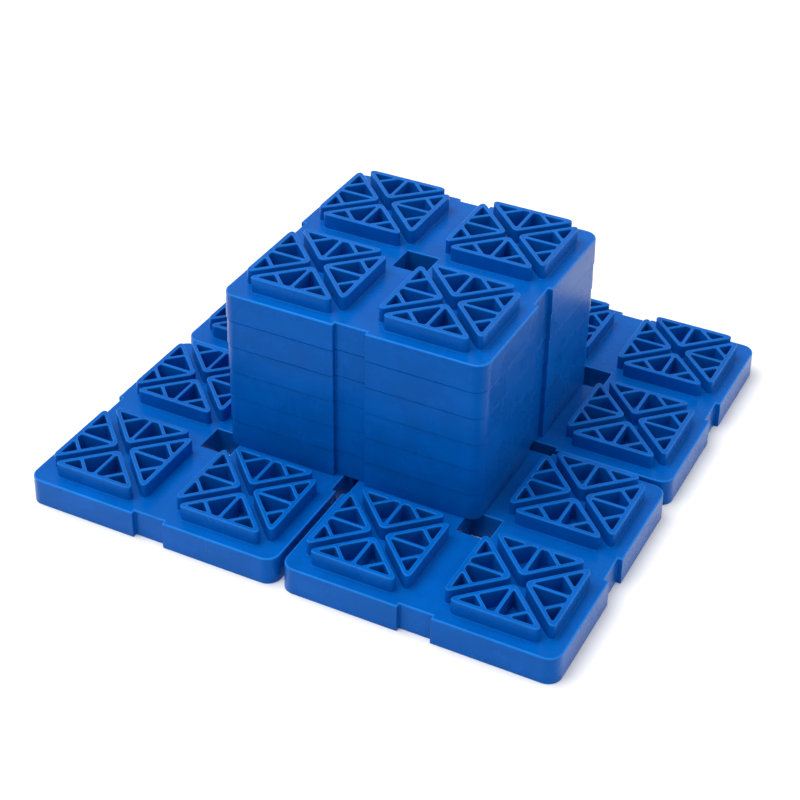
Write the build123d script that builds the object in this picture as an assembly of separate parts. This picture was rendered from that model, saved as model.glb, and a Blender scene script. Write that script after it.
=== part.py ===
from build123d import *
import math
import os

# Leveling block set: ten identical interlocking blocks, four side by side and six stacked
# over the point where the four meet. Millimetres, +Z up, origin on the ground plane
# under the middle of the set.

# ---- the plate of one block
foot_width = 215.9          # side of the square at the ground
deck_width = 214.0          # side of the square at the deck, after moulding draft
deck_height = 22.7          # rise of one block, ground to deck
corner_radius = 11.0        # plan radius of the plate's corners
wall = 3.0                  # skirt and deck thickness
notch_width = 26.0          # grip notch in the middle of each side
notch_depth = 3.7
hole_width = 26.0           # square hole through the middle of the block

# ---- the four pads on the deck, each split by an X of grooves into four triangles
pad_pitch = 110.0           # distance between neighbouring pads, the same across blocks
pad_width = 83.8
pad_height = 12.4
groove_width = 6.0
pad_corner_radius = 3.8     # the two sharp corners of a triangle
pad_apex_radius = 5.0       # the corner that points at the pad's middle

# ---- the ribs that split a triangle into four cells, open at the top
outer_wall = 3.9            # wall along the pad's side
leg_wall = 3.5              # walls along the grooves
middle_rib = 3.0            # rib from the side's midpoint to the apex
side_rib = 3.0              # ribs parallel to the grooves
side_rib_reach = 46.6       # how far from the pad's middle a side rib's centre line runs

# ---- the underside
fit_gap = 0.6               # play between a pad and the socket that it enters
socket_depth = 13.2         # ground to the socket's ceiling
web_depth = 5.0             # the X web hangs this far from the ceiling, into the pad's grooves
socket_wall = 2.4           # wall around each socket
hole_wall = 2.4             # wall of the square tube around the middle hole
tie_rib = 2.0               # stiffening ribs in the channels between the sockets
tie_rib_places = (30.0, 78.0)

# ---- the set
block_pitch = 2 * pad_pitch # so that pads keep their spacing from block to block
stack_count = 6
base_places = {
    "base_block_front_left": (-1, -1),
    "base_block_front_right": (1, -1),
    "base_block_back_left": (-1, 1),
    "base_block_back_right": (1, 1),
}

# worked out from the above
pad_half = pad_width / 2
pad_top = deck_height + pad_height
groove_offset = groove_width / math.sqrt(2)
cell_start = groove_offset + leg_wall * math.sqrt(2)
cell_end = pad_half - outer_wall
rib_step = side_rib / math.sqrt(2)
under_deck = deck_height - wall          # also the floor of the cells in the pads
draft_angle = math.degrees(math.atan((foot_width - deck_width) / 2 / deck_height))
socket_opening = pad_width + 2 * fit_gap
socket_radius = pad_corner_radius + fit_gap
web_width = groove_width - 2 * fit_gap


def plate_outline():
    """Rounded square with a notch in the middle of each side."""
    outline = RectangleRounded(foot_width, foot_width, corner_radius)
    for turn in range(4):
        notch = Pos(foot_width / 2, 0) * Rectangle(2 * notch_depth, notch_width)
        outline -= Rot(0, 0, 90 * turn) * notch
    return outline


def pad_triangle():
    """The triangle of a pad that faces -Y, with the pad's middle at the origin."""
    reach = pad_half - groove_offset
    triangle = Polygon((0, -groove_offset), (-reach, -pad_half), (reach, -pad_half), align=None)
    apex = triangle.vertices().sort_by(Axis.Y)[-1]
    triangle = fillet(apex, pad_apex_radius)
    outer_corners = triangle.vertices().group_by(Axis.Y)[0]
    return fillet(outer_corners, pad_corner_radius)


def wide_cell():
    """The cell beside the middle rib."""
    near_rib = middle_rib / 2
    rib_line = side_rib_reach - rib_step
    points = [
        (near_rib, -cell_start - near_rib),
        (near_rib, -cell_end),
        (rib_line - cell_end, -cell_end),
        ((rib_line - cell_start) / 2, -(rib_line + cell_start) / 2),
    ]
    return Polygon(*points, align=None)


def corner_cell():
    """The small cell in the triangle's sharp corner."""
    rib_line = side_rib_reach + rib_step
    points = [
        (rib_line - cell_end, -cell_end),
        (cell_end - cell_start, -cell_end),
        ((rib_line - cell_start) / 2, -(rib_line + cell_start) / 2),
    ]
    return Polygon(*points, align=None)


def around_pad(shapes):
    """The given shapes repeated for the four triangles of one pad."""
    return [Rot(0, 0, 90 * turn) * shape for turn in range(4) for shape in shapes]


def on_every_pad(solid):
    """One solid repeated at the four pads of a block."""
    half = pad_pitch / 2
    return [Pos(x, y, 0) * solid for x in (-half, half) for y in (-half, half)]


def pad_pieces(faces, height, start):
    """The given faces of one triangle raised to a height, for all sixteen triangles."""
    raised = [Pos(0, 0, start) * extrude(face, amount=height) for face in faces]
    return [copy for piece in around_pad(raised) for copy in on_every_pad(piece)]


def channel_space():
    """The hollow between the skirt, the sockets and the middle tube, open at the bottom."""
    inner = foot_width - 2 * wall - (foot_width - deck_width)
    space = Rectangle(inner, inner)
    space = fillet(space.vertices(), corner_radius - wall)
    for turn in range(4):
        behind_notch = Pos(foot_width / 2, 0) * Rectangle(
            2 * (notch_depth + wall), notch_width + 2 * wall
        )
        space -= Rot(0, 0, 90 * turn) * behind_notch
    width = socket_opening + 2 * socket_wall
    for walls in on_every_pad(RectangleRounded(width, width, socket_radius + socket_wall)):
        space -= walls
    tube = hole_width + 2 * hole_wall
    space -= Rectangle(tube, tube)
    for turn in range(4):
        for place in tie_rib_places:
            for side in (-1, 1):
                rib = Pos(side * place, pad_pitch / 2 + pad_half) * Rectangle(tie_rib, pad_half)
                space -= Rot(0, 0, 90 * turn) * rib
            cross_rib = Pos(0, place) * Rectangle(pad_pitch - pad_width, tie_rib)
            space -= Rot(0, 0, 90 * turn) * cross_rib
    return extrude(space, amount=under_deck)


def socket_space():
    """The hollow that takes a pad, with the X web left standing at its ceiling."""
    outline = RectangleRounded(socket_opening, socket_opening, socket_radius)
    space = extrude(outline, amount=socket_depth)
    web = Box(2 * socket_opening, web_width, web_depth, align=(Align.CENTER, Align.CENTER, Align.MAX))
    for angle in (45, 135):
        space -= Pos(0, 0, socket_depth) * Rot(0, 0, angle) * web
    return space


def make_block():
    """One moulded block, standing on the ground with its middle at the origin."""
    block = extrude(plate_outline(), amount=deck_height, taper=draft_angle)
    block += pad_pieces([pad_triangle()], pad_height, deck_height)
    block -= Pos(0, 0, deck_height / 2) * Box(hole_width, hole_width, deck_height)
    block -= channel_space()
    block -= on_every_pad(socket_space())
    right_cells = [wide_cell(), corner_cell()]
    cells = right_cells + [mirror(cell, about=Plane.YZ) for cell in right_cells]
    block -= pad_pieces(cells, pad_top - under_deck, under_deck)
    return block


def main():
    os.makedirs("parts", exist_ok=True)
    block = make_block()
    nodes = {}
    for name, (column, row) in base_places.items():
        nodes[name] = Pos(column * block_pitch / 2, row * block_pitch / 2, 0) * block
    for level in range(1, stack_count + 1):
        nodes[f"stack_block_{level}"] = Pos(0, 0, level * deck_height) * block
    for name, node in nodes.items():
        export_step(node, f"parts/{name}.step")
        print(name, len(node.solids()), "solid", round(node.volume / 1000, 1), "cm3")


main()
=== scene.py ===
import math
import bpy
import bmesh
from mathutils import Euler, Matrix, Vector


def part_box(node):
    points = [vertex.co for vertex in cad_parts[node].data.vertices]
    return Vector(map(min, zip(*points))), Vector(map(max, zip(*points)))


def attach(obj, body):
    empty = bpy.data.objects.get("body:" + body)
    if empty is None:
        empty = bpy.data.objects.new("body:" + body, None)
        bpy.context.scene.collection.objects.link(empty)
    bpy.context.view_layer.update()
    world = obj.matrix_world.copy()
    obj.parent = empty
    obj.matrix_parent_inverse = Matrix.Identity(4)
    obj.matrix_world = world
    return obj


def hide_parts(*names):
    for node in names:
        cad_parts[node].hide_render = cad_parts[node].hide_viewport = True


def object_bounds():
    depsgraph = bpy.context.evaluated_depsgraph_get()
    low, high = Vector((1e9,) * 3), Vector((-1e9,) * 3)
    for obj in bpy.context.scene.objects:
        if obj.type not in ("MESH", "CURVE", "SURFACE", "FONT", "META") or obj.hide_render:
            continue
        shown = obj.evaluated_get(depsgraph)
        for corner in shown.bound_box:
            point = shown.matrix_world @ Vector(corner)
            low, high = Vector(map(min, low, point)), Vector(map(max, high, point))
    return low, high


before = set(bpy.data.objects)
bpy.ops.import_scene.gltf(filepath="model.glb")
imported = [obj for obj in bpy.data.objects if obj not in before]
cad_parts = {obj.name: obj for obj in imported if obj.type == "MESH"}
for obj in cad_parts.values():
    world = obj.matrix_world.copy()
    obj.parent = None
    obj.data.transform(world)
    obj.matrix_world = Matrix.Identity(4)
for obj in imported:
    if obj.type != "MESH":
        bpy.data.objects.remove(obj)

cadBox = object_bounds()
mm = 0.001
tiny = 1e-6  # metres: two places closer than this are one
nearby = 0.1 * mm  # how far a height may be off and still count
upward = 0.9  # a face whose normal's z is above this looks up
print("Loaded", len(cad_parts), "blocks from the frame")


def hexColour(code):
    # sRGB hex to the linear colour that shaders and lights use
    values = [int(code[i:i + 2], 16) / 255 for i in (0, 2, 4)]
    linear = [v / 12.92 if v <= 0.04045 else ((v + 0.055) / 1.055) ** 2.4 for v in values]
    return (*linear, 1.0)


def deselectAll():
    if bpy.context.mode != "OBJECT":
        bpy.ops.object.mode_set(mode="OBJECT")
    bpy.ops.object.select_all(action="DESELECT")


def makeActive(piece):
    deselectAll()
    piece.select_set(True)
    bpy.context.view_layer.objects.active = piece


def settle(piece):
    # the object goes to the origin, unturned and unscaled, and its place into its mesh
    makeActive(piece)
    bpy.ops.object.transform_apply(location=True, rotation=True, scale=True)
    return piece


def joinPieces(pieces, name):
    deselectAll()
    for piece in pieces:
        piece.select_set(True)
    bpy.context.view_layer.objects.active = pieces[0]
    bpy.ops.object.join()
    pieces[0].name = name
    return settle(pieces[0])


def copyPiece(piece, move=(0, 0, 0), turn=0.0):
    # a copy with a mesh of its own, turned about the origin and then moved
    makeActive(piece)
    bpy.ops.object.duplicate(linked=False)
    twin = bpy.context.object
    twin.rotation_euler = Euler((0, 0, turn))
    twin.location = Vector(move)
    return settle(twin)


def cut(piece, tool, how="DIFFERENCE"):
    # boolean with the tool, which is used up
    makeActive(piece)
    change = piece.modifiers.new("Boolean", "BOOLEAN")
    change.operation = how
    change.solver = "EXACT"
    change.object = tool
    bpy.ops.object.modifier_apply(modifier=change.name)
    bpy.data.objects.remove(tool)


def pickEdges(piece, test):
    # edit mode on, and only the edges whose two ends pass the test are selected
    makeActive(piece)
    bpy.ops.object.mode_set(mode="EDIT")
    bpy.ops.mesh.select_mode(type="EDGE")
    bpy.ops.mesh.select_all(action="DESELECT")
    mesh = bmesh.from_edit_mesh(piece.data)
    for edge in mesh.edges:
        edge.select_set(test(edge.verts[0].co, edge.verts[1].co))
    bmesh.update_edit_mesh(piece.data)


def isUpright(a, b):
    return abs(a.x - b.x) < tiny and abs(a.y - b.y) < tiny


def roundUprights(piece, radius, segments, near=None):
    # rounds the upright edges, all of them or only the one at a place given as (x, y)
    def wanted(a, b):
        here = near is None or math.hypot(a.x - near[0], a.y - near[1]) < 10 * tiny
        return isUpright(a, b) and here
    pickEdges(piece, wanted)
    bpy.ops.mesh.bevel(offset=radius, segments=segments, affect="EDGES")
    bpy.ops.object.mode_set(mode="OBJECT")


def addBox(low, high):
    size = [b - a for a, b in zip(low, high)]
    middle = [(a + b) / 2 for a, b in zip(low, high)]
    deselectAll()
    bpy.ops.mesh.primitive_cube_add(size=1, location=middle)
    box = bpy.context.object
    box.scale = size
    return settle(box)


def sliceOff(piece, point, normal):
    # removes what lies beyond the plane, on the side its normal points to, and closes the cut
    makeActive(piece)
    bpy.ops.object.mode_set(mode="EDIT")
    bpy.ops.mesh.select_all(action="SELECT")
    bpy.ops.mesh.bisect(plane_co=point, plane_no=normal, use_fill=True, clear_outer=True)
    bpy.ops.object.mode_set(mode="OBJECT")


def addWedge(x, y, reach, low, high, facing):
    # upright prism on a right-angled triangle: its long side is centred on (x, y),
    # and its square corner points along facing
    deselectAll()
    bpy.ops.mesh.primitive_cylinder_add(
        vertices=4, radius=reach, depth=high - low, location=(x, y, (low + high) / 2),
    )
    wedge = settle(bpy.context.object)
    sliceOff(wedge, (x, y, 0), (-facing[0], -facing[1], 0))
    return wedge


# one block, modelled once at the origin with its foot at height zero
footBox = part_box("base_block_front_left")
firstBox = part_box("stack_block_1")
rise = firstBox[0][2] - footBox[0][2]
topHeight = footBox[1][2] - footBox[0][2]
footWidth = footBox[1][0] - footBox[0][0]

plate = {
    "draft": 0.5 * mm,  # how much each side leans in from foot to deck
    "cornerRadius": 11 * mm,
    "cornerSegments": 8,
    "wall": 3 * mm,
    "notchWidth": 26 * mm,
    "notchDepth": 3.7 * mm,
    "holeWidth": 26 * mm,
}

pads = {
    "pitch": 110 * mm,
    "width": 83.8 * mm,
    "groove": 6 * mm,
    "cornerRadius": 3.8 * mm,
    "apexRadius": 5 * mm,
    "cornerSegments": 6,
    "outerWall": 3.9 * mm,
    "legWall": 3.5 * mm,
    "middleRib": 3 * mm,
    "sideRib": 3 * mm,
    "sideRibReach": 46.6 * mm,
    "cellRadius": 1 * mm,
    "cellFootRadius": 1.8 * mm,
    "cellSegments": 4,
    "squareCellSegments": 3,  # in the cells' right-angled corners
}

under = {
    "fitGap": 0.6 * mm,
    "socketDepth": 13.2 * mm,
    "webDepth": 5 * mm,  # the X web hangs this far from the socket's ceiling
    "socketWall": 2.4 * mm,
    "holeWall": 2.4 * mm,
    "tieRib": 2 * mm,
    "tiePlaces": (30 * mm, 78 * mm),
    "spare": 2 * mm,  # how far a cutting tool runs past the face that it opens
}

edges = {
    "rim": 1.1 * mm,  # deck's outer edge
    "padTop": 1 * mm,
    "padFoot": 0.9 * mm,
    "other": 0.5 * mm,
    "segments": 3,
    "sharpAngle": math.radians(40),
    "rimHighlight": 1.0,  # share of painted highlight, a paler colour standing in for the light caught along an open deck's rounded edges
    "coveredHighlight": 0.0,  # share of painted highlight along the edges of a deck with a block on top
    "padHighlight": 0.5,  # share of painted highlight along the pads' top edges
    "slopes": (0.1, 0.995),  # the z of a rounded edge's normals lies between these
}

half = footWidth / 2
padHalf = pads["width"] / 2
padSteps = (-pads["pitch"] / 2, pads["pitch"] / 2)
padPlaces = [(x, y) for x in padSteps for y in padSteps]
quarterTurns = [math.radians(90 * n) for n in range(4)]
grooveOffset = pads["groove"] / math.sqrt(2)
sharpCorner = math.tan(math.radians(22.5))  # a 45 degree corner's radius over its length along a side


def makePlate():
    body = addBox((-half, -half, 0), (half, half, rise))
    roundUprights(body, plate["cornerRadius"], plate["cornerSegments"])
    # moulding draft: the deck is a little smaller than the foot
    bpy.ops.object.mode_set(mode="EDIT")
    bpy.ops.mesh.select_all(action="DESELECT")
    mesh = bmesh.from_edit_mesh(body.data)
    for face in mesh.faces:
        face.select_set(face.normal.z > upward)
    bmesh.update_edit_mesh(body.data)
    shrink = 1 - plate["draft"] / half
    bpy.ops.transform.resize(value=(shrink, shrink, 1), center_override=(0, 0, rise))
    bpy.ops.object.mode_set(mode="OBJECT")
    return body


def makeNotch():
    # tool for the notch in the -Y side, its inner face leaning as the skirt does
    deep = -half + plate["notchDepth"]
    wide = plate["notchWidth"] / 2
    spare = under["spare"]
    tool = addBox((-wide, -half - spare, -spare), (wide, deep, rise + spare))
    lean = plate["draft"] * (rise + 2 * spare) / rise
    makeActive(tool)
    bpy.ops.object.mode_set(mode="EDIT")
    bpy.ops.mesh.select_mode(type="VERT")
    bpy.ops.mesh.select_all(action="DESELECT")
    mesh = bmesh.from_edit_mesh(tool.data)
    for vertex in mesh.verts:
        vertex.select_set(vertex.co.y > deep - mm and vertex.co.z > rise)
    bmesh.update_edit_mesh(tool.data)
    bpy.ops.transform.translate(value=(0, lean, 0))
    bpy.ops.object.mode_set(mode="OBJECT")
    return tool


def makeTriangle(low, high):
    # one of a pad's four triangles, the one towards -Y
    reach = padHalf - grooveOffset
    wedge = addWedge(0, -padHalf, reach, low, high, (0, 1))
    roundUprights(wedge, pads["apexRadius"], pads["cornerSegments"], near=(0, -grooveOffset))
    length = pads["cornerRadius"] / sharpCorner
    for x in (-reach, reach):
        roundUprights(wedge, length, pads["cornerSegments"], near=(x, -padHalf))
    return wedge


def makeSocket():
    # tool for the hollow that takes a pad, with the X web left standing at its ceiling
    side = padHalf + under["fitGap"]
    ceiling = under["socketDepth"]
    tool = addBox((-side, -side, -under["spare"]), (side, side, ceiling))
    roundUprights(tool, pads["cornerRadius"] + under["fitGap"], pads["cornerSegments"])
    webHalf = pads["groove"] / 2 - under["fitGap"]
    webLow, webHigh = ceiling - under["webDepth"], ceiling + under["spare"]
    web = addBox((-2 * side, -webHalf, webLow), (2 * side, webHalf, webHigh))
    for turn in (math.radians(45), math.radians(135)):
        cut(tool, copyPiece(web, turn=turn))
    bpy.data.objects.remove(web)
    return tool


def makeCells(low, high):
    # the four open cells of that triangle, as one tool
    legInner = grooveOffset + pads["legWall"] * math.sqrt(2)
    wallInner = padHalf - pads["outerWall"]
    ribStep = pads["sideRib"] / math.sqrt(2)
    nearRib = pads["middleRib"] / 2
    # wide cell: long side along the middle rib, square corner outwards, foot sliced off at the wall
    line = pads["sideRibReach"] - ribStep
    cornerX, cornerY = (line - legInner) / 2, -(line + legInner) / 2
    wide = addWedge(nearRib, cornerY, cornerX - nearRib, low, high, (1, 0))
    sliceOff(wide, (0, -wallInner, 0), (0, -1, 0))
    foot = line - wallInner
    segments, squareSegments = pads["cellSegments"], pads["squareCellSegments"]
    roundUprights(wide, pads["cellFootRadius"], segments, near=(nearRib, -wallInner))
    roundUprights(wide, pads["cellFootRadius"] * sharpCorner, segments, near=(foot, -wallInner))
    roundUprights(wide, pads["cellRadius"], squareSegments, near=(cornerX, cornerY))
    roundUprights(wide, pads["cellRadius"] / sharpCorner, segments, near=(nearRib, -legInner - nearRib))
    # corner cell: long side along the outer wall
    line = pads["sideRibReach"] + ribStep
    start, end = line - wallInner, wallInner - legInner
    reach = (end - start) / 2
    small = addWedge((start + end) / 2, -wallInner, reach, low, high, (0, 1))
    roundUprights(small, pads["cellRadius"], squareSegments, near=((start + end) / 2, reach - wallInner))
    for x in (start, end):
        roundUprights(small, pads["cellRadius"] / sharpCorner, segments, near=(x, -wallInner))
    cells = joinPieces([wide, small], "cells")
    twin = copyPiece(cells)
    twin.scale = (-1, 1, 1)
    settle(twin)
    bpy.ops.object.mode_set(mode="EDIT")
    bpy.ops.mesh.select_all(action="SELECT")
    bpy.ops.mesh.normals_make_consistent(inside=False)
    bpy.ops.object.mode_set(mode="OBJECT")
    return joinPieces([cells, twin], "cells")


def onEveryPad(piece, turns=quarterTurns):
    # copies of a piece modelled about a pad's middle, for each pad and each turn
    copies = [copyPiece(piece, (x, y, 0), turn) for x, y in padPlaces for turn in turns]
    bpy.data.objects.remove(piece)
    return joinPieces(copies, "copies")


def makeChannels():
    # the hollows between the skirt, the sockets and the middle tube, open at the foot
    low, high = -under["spare"], rise - plate["wall"]
    inner = half - plate["wall"] - plate["draft"]
    socket = padHalf + under["fitGap"] + under["socketWall"]
    socketLow, socketHigh = pads["pitch"] / 2 - socket, pads["pitch"] / 2 + socket
    tube = plate["holeWidth"] / 2 + under["holeWall"]
    behindNotch = plate["notchWidth"] / 2 + plate["wall"]
    rib = under["tieRib"] / 2
    first, second = under["tiePlaces"]
    boxes = []
    for start, end in ((tube, first - rib), (first + rib, second - rib), (second + rib, socketHigh)):
        boxes.append(addBox((-socketLow, start, low), (socketLow, end, high)))
    for start, end in ((behindNotch, first - rib), (first + rib, second - rib)):
        boxes.append(addBox((start, socketHigh, low), (end, inner, high)))
        boxes.append(addBox((-end, socketHigh, low), (-start, inner, high)))
    # one end runs on round the skirt's corner, and the other stops at a rib before it
    corner = addBox((second + rib, socketHigh, low), (inner, inner, high))
    roundUprights(corner, plate["cornerRadius"] - plate["wall"], pads["cornerSegments"], near=(inner, inner))
    boxes.append(corner)
    boxes.append(addBox((under["tieRib"] - socketHigh, socketHigh, low), (-second - rib, inner, high)))
    arm = joinPieces(boxes, "arm")
    arms = [copyPiece(arm, turn=turn) for turn in quarterTurns]
    bpy.data.objects.remove(arm)
    return joinPieces(arms, "channels")


def softenEdges(block):
    # every moulded edge gets a small radius, larger along the rim and round the pads
    makeActive(block)
    bpy.ops.object.mode_set(mode="EDIT")
    bpy.ops.mesh.select_mode(type="EDGE")
    bpy.ops.mesh.select_all(action="SELECT")
    bpy.ops.mesh.remove_doubles(threshold=tiny)
    bpy.ops.mesh.normals_make_consistent(inside=False)
    bpy.ops.mesh.select_all(action="DESELECT")
    bpy.ops.mesh.edges_select_sharp(sharpness=edges["sharpAngle"])
    bpy.ops.object.mode_set(mode="OBJECT")
    largest = max(edges["rim"], edges["padTop"], edges["padFoot"], edges["other"])
    weights = block.data.attributes.new("bevel_weight_edge", "FLOAT", "EDGE")
    for edge in block.data.edges:
        if not edge.select:
            continue
        ends = [block.data.vertices[i].co for i in edge.vertices]
        heights = [point.z for point in ends]
        outermost = min(max(abs(point.x), abs(point.y)) for point in ends)
        if min(heights) > topHeight - nearby:
            width = edges["padTop"]
        elif min(heights) > rise - nearby and max(heights) < rise + nearby:
            onRim = outermost > half - plate["notchDepth"] - 2 * mm
            width = edges["rim"] if onRim else edges["padFoot"]
        else:
            width = edges["other"]
        weights.data[edge.index].value = width / largest
    bevel = block.modifiers.new("Bevel", "BEVEL")
    bevel.limit_method = "WEIGHT"
    bevel.width = largest
    bevel.segments = edges["segments"]
    bevel.use_clamp_overlap = False
    makeActive(block)
    bpy.ops.object.modifier_apply(modifier=bevel.name)
    bpy.ops.object.shade_smooth()
    even = block.modifiers.new("Weighted Normal", "WEIGHTED_NORMAL")
    even.mode = "FACE_AREA"
    even.keep_sharp = True
    bpy.ops.object.modifier_apply(modifier=even.name)


def makeBlock():
    body = makePlate()
    notch = makeNotch()
    notches = joinPieces([copyPiece(notch, turn=turn) for turn in quarterTurns], "notches")
    bpy.data.objects.remove(notch)
    cut(body, notches)
    cut(body, onEveryPad(makeTriangle(rise - mm, topHeight)), "UNION")
    cut(body, onEveryPad(makeSocket(), turns=(0,)))
    cut(body, onEveryPad(makeCells(rise - plate["wall"], topHeight + under["spare"])))
    hole = plate["holeWidth"] / 2
    cut(body, addBox((-hole, -hole, -under["spare"]), (hole, hole, rise + under["spare"])))
    cut(body, makeChannels())
    print("Block cut out:", len(body.data.polygons), "faces")
    softenEdges(body)
    triangles = sum(len(face.vertices) - 2 for face in body.data.polygons)
    print("Block with soft edges:", triangles, "triangles")
    return body


def markPaintedHighlight(piece, foot, rimHighlightShare):
    # how strongly each face gets the painted highlight, a paler colour in place of the light caught on
    # rounded edges: only the outward rounded edges of the deck and the pad tops
    # painted highlight mask, stored per face corner
    highlightLayer = piece.data.attributes.new("paintedEdgeHighlight", "FLOAT", "CORNER")
    flattest, steepest = edges["slopes"]
    for face in piece.data.polygons:
        height = face.center.z - foot
        if not flattest < face.normal.z < steepest:
            continue
        if height > topHeight - edges["padTop"]:
            share = edges["padHighlight"]
        elif rise - edges["rim"] < height < rise:
            share = rimHighlightShare
        else:
            share = 0.0
        for corner in face.loop_indices:
            highlightLayer.data[corner].value = share


plastic = {
    "colour": "0056AB",
    "highlightColour": "1E78D2",  # painted highlight: paler blue on the rounded edges, standing in for the light they catch
    "highlightShare": 0.75,
    "mottle": 30 * mm,  # size of the cloudy patches left as the melt cools
    "mottleShare": 0.10,
    "streak": 9 * mm,  # height of the level flow bands on the upright faces
    "streakStretch": (0.2, 0.2, 1.0),  # the bands run five times as far along as they are high
    "streakShare": 0.05,
    "grain": 0.9 * mm,  # the mould's eroded texture, drawn about twice as coarse as it is
    "grainDepth": 0.02 * mm,
    "waveSize": 22 * mm,  # sink waves over the ribs behind
    "waveDepth": 0.06 * mm,
    "roughness": 0.27,
    "roughnessSpread": 0.08,
    "ior": 1.42,
    "glossTint": "2F7FE0",  # the strong pigment tints the straight-on gloss, and grazing gloss stays white
}


def addNode(tree, kind, settings, links={}):
    # a setting goes to the input of that name or number, or else to the node's own property
    node = tree.nodes.new(kind)
    for name, value in settings.items():
        if isinstance(name, int) or name in node.inputs:
            node.inputs[name].default_value = value
        else:
            setattr(node, name, value)
    for name, output in links.items():
        tree.links.new(output, node.inputs[name])
    return node


def mouldedPolypropylene():
    # moulded polypropylene: a waxy satin skin with a fine grain, clouds and streaks where the melt flowed,
    # soft waves over the ribs, and a painted highlight, a paler colour, along the rounded edges
    material = bpy.data.materials.new("moulded_polypropylene_blue")
    material.use_nodes = True
    tree = material.node_tree
    shader = tree.nodes["Principled BSDF"]
    place = addNode(tree, "ShaderNodeTexCoord", {}).outputs["Object"]
    noiseSpan = {"From Min": 0.3, "From Max": 0.7}  # where most of a noise texture's values lie

    clouds = addNode(tree, "ShaderNodeTexNoise", {
        "Scale": 1 / plastic["mottle"], "Detail": 4.0, "Roughness": 0.6,
    }, {"Vector": place})
    squeeze = addNode(tree, "ShaderNodeMapping", {"Scale": plastic["streakStretch"]}, {"Vector": place})
    streaks = addNode(tree, "ShaderNodeTexNoise", {
        "Scale": 1 / plastic["streak"], "Detail": 3.0, "Roughness": 0.55,
    }, {"Vector": squeeze.outputs["Vector"]})
    cloudTone = addNode(tree, "ShaderNodeMapRange", {
        **noiseSpan, "To Min": 1 - plastic["mottleShare"], "To Max": 1 + plastic["mottleShare"],
    }, {"Value": clouds.outputs["Fac"]})
    streakTone = addNode(tree, "ShaderNodeMapRange", {
        **noiseSpan, "To Min": 1 - plastic["streakShare"], "To Max": 1 + plastic["streakShare"],
    }, {"Value": streaks.outputs["Fac"]})
    tone = addNode(tree, "ShaderNodeMath", {"operation": "MULTIPLY"}, {
        0: cloudTone.outputs["Result"], 1: streakTone.outputs["Result"],
    })

    # painted highlight: the base colour is mixed towards a paler blue along the rounded edges
    paintedHighlight = addNode(tree, "ShaderNodeAttribute", {"attribute_name": "paintedEdgeHighlight"})
    highlightAmount = addNode(tree, "ShaderNodeMath", {
        "operation": "MULTIPLY", 1: plastic["highlightShare"],
    }, {0: paintedHighlight.outputs["Fac"]})
    colour = addNode(tree, "ShaderNodeMix", {
        "data_type": "RGBA", "A": hexColour(plastic["colour"]), "B": hexColour(plastic["highlightColour"]),
    }, {"Factor": highlightAmount.outputs["Value"]})
    toned = addNode(tree, "ShaderNodeVectorMath", {"operation": "SCALE"}, {
        0: colour.outputs["Result"], "Scale": tone.outputs["Value"],
    })
    tree.links.new(toned.outputs["Vector"], shader.inputs["Base Color"])

    grain = addNode(tree, "ShaderNodeTexNoise", {
        "Scale": 1 / plastic["grain"], "Detail": 2.0, "Roughness": 0.5,
    }, {"Vector": place})
    waves = addNode(tree, "ShaderNodeTexNoise", {
        "Scale": 1 / plastic["waveSize"], "Detail": 1.0,
    }, {"Vector": place})
    gloss = addNode(tree, "ShaderNodeMapRange", {
        **noiseSpan,
        "To Min": plastic["roughness"] - plastic["roughnessSpread"] / 2,
        "To Max": plastic["roughness"] + plastic["roughnessSpread"] / 2,
    }, {"Value": clouds.outputs["Fac"]})
    tree.links.new(gloss.outputs["Result"], shader.inputs["Roughness"])
    wavy = addNode(tree, "ShaderNodeBump", {"Strength": 1.0, "Distance": plastic["waveDepth"]}, {
        "Height": waves.outputs["Fac"],
    })
    grainy = addNode(tree, "ShaderNodeBump", {"Strength": 1.0, "Distance": plastic["grainDepth"]}, {
        "Height": grain.outputs["Fac"], "Normal": wavy.outputs["Normal"],
    })
    tree.links.new(grainy.outputs["Normal"], shader.inputs["Normal"])
    shader.inputs["IOR"].default_value = plastic["ior"]
    shader.inputs["Specular Tint"].default_value = hexColour(plastic["glossTint"])
    return material


def layOut(block):
    # the set: a copy of the block set down at each node's place
    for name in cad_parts:
        low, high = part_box(name)
        piece = copyPiece(block, ((low.x + high.x) / 2, (low.y + high.y) / 2, low.z))
        piece.name = name + "_moulding"
        piece.data.name = piece.name
        # every stacked block but the top one has its deck covered
        covered = name.startswith("stack") and high.z < cadBox[1][2] - mm
        # a covered deck gets no painted highlight on its edges, so the seams between stacked blocks stay
        # dark
        markPaintedHighlight(piece, low.z, edges["coveredHighlight"] if covered else edges["rimHighlight"])
        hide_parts(name)
        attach(piece, name)
    bpy.data.objects.remove(block)


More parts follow.
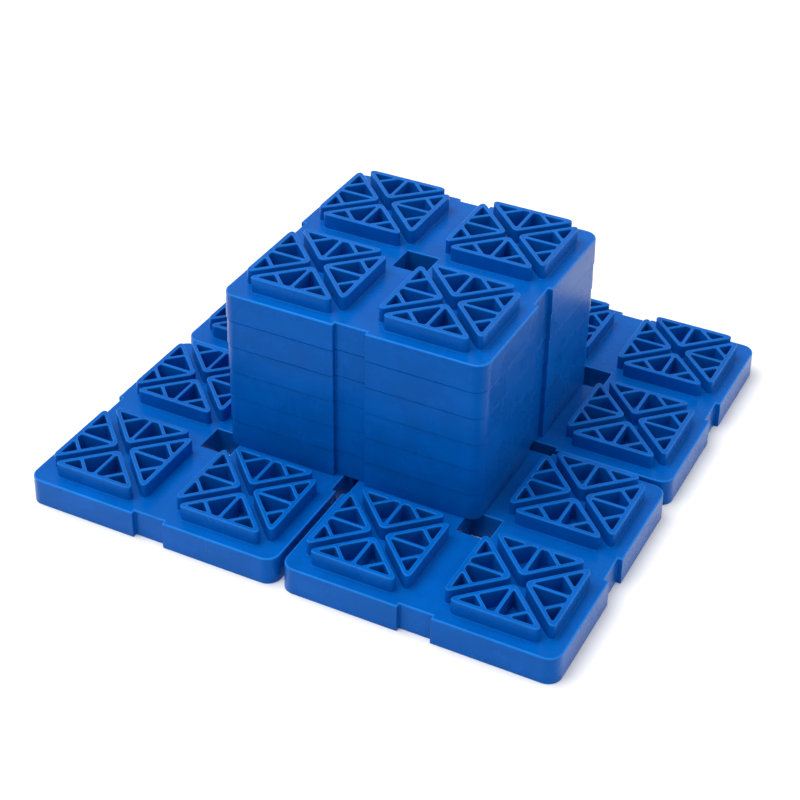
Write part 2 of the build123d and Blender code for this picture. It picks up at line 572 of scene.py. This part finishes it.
studio = {
    "floorSize": 8.0,
    "floorColour": "F4F4F4",
    "skyColour": "FFFFFF",
    "skyStrength": 0.50,
    "lights": (
        # name, place, size, watts, colour
        ("topLight", (-0.75, -0.4, 2.7), 2.6, 88, "FFFFFF"),
        ("frontLight", (-1.2, -2.4, 1.2), 1.6, 5, "FFFFFF"),
        ("rightLight", (2.0, 0.7, 1.3), 1.6, 9, "FFFFFF"),
    ),
    "lightTarget": (0.0, 0.0, 0.08),
}

view = {
    "place": (0.4998, -1.0262, 0.8297),
    "target": (0.0094, -0.0420, 0.0600),
    "roll": math.radians(0.94),
    "lens": 78.2,
    "sensor": 36.0,
}


def aim(item, place, target, roll=0.0):
    item.location = place
    towards = (Vector(target) - Vector(place)).to_track_quat("-Z", "Y")
    item.rotation_euler = (towards @ Euler((0, 0, roll)).to_quaternion()).to_euler()


def makeStudio():
    deselectAll()
    bpy.ops.mesh.primitive_plane_add(size=studio["floorSize"], location=(0, 0, 0))
    floor = bpy.context.object
    floor.name = "studio_floor"
    paint = bpy.data.materials.new("matt_white_paper")
    paint.use_nodes = True
    paper = paint.node_tree.nodes["Principled BSDF"]
    paper.inputs["Base Color"].default_value = hexColour(studio["floorColour"])
    paper.inputs["Roughness"].default_value = 0.9
    floor.data.materials.append(paint)

    world = bpy.data.worlds.new("studio_sky")
    bpy.context.scene.world = world
    world.use_nodes = True
    sky = world.node_tree.nodes["Background"]
    sky.inputs["Color"].default_value = hexColour(studio["skyColour"])
    sky.inputs["Strength"].default_value = studio["skyStrength"]

    for name, place, size, watts, colour in studio["lights"]:
        bpy.ops.object.light_add(type="AREA")
        lamp = bpy.context.object
        lamp.name = name
        lamp.data.shape = "SQUARE"
        lamp.data.size = size
        lamp.data.energy = watts
        lamp.data.color = hexColour(colour)[:3]
        aim(lamp, place, studio["lightTarget"])

    bpy.ops.object.camera_add()
    camera = bpy.context.object
    camera.name = "studio_camera"
    camera.data.lens = view["lens"]
    camera.data.sensor_width = view["sensor"]
    aim(camera, view["place"], view["target"], view["roll"])
    bpy.context.scene.camera = camera
    bpy.context.scene.view_settings.view_transform = "Standard"
    print("Studio ready")


block = makeBlock()
block.data.materials.append(mouldedPolypropylene())
layOut(block)
print("Ten blocks laid out")
makeStudio()
